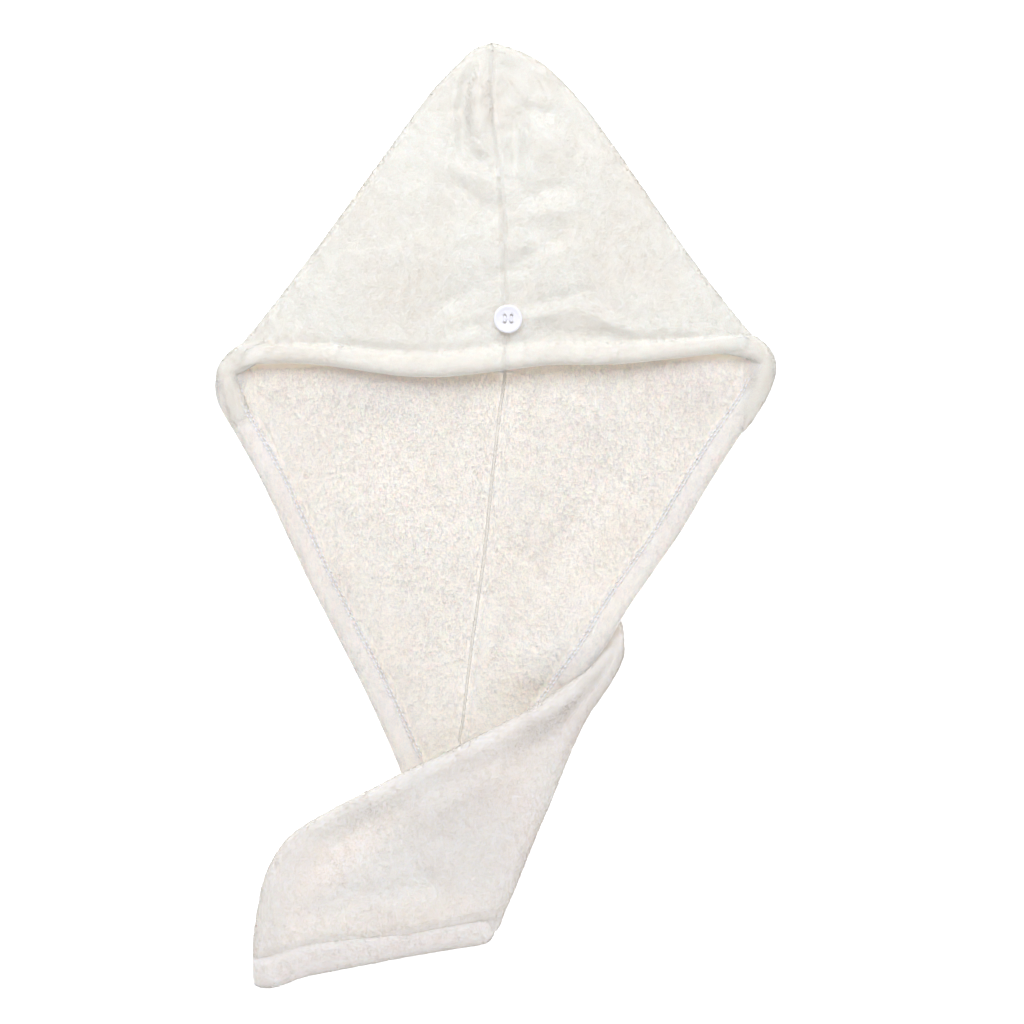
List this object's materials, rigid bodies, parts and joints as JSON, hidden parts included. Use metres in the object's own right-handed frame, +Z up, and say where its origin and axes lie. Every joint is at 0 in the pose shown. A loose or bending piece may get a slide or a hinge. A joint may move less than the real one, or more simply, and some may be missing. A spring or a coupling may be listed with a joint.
{
  "type": "hair towel",
  "caption": "Plush fleece hair-drying turban lying flat: hooded triangle with an open mouth, hemmed edges, a button above the rim and a folded-over tail.",
  "frame": {"origin": "centre of the bounding box on the surface that the towel lies on", "axes": "+Z up from that surface, +Y towards the hood's peak, +X towards the right-hand corner seen from above"},
  "size_m": [0.3938, 0.6627, 0.0264],
  "materials": {
    "fleece": "plush coral fleece, off-white",
    "button_plastic": "pale satin plastic",
    "sewing_thread": "polyester sewing thread"
  },
  "bodies": {
    "root": {"left_panel": "fleece", "right_panel": "fleece", "button": "button_plastic", "button_thread": "sewing_thread"}
  },
  "joints": []
}
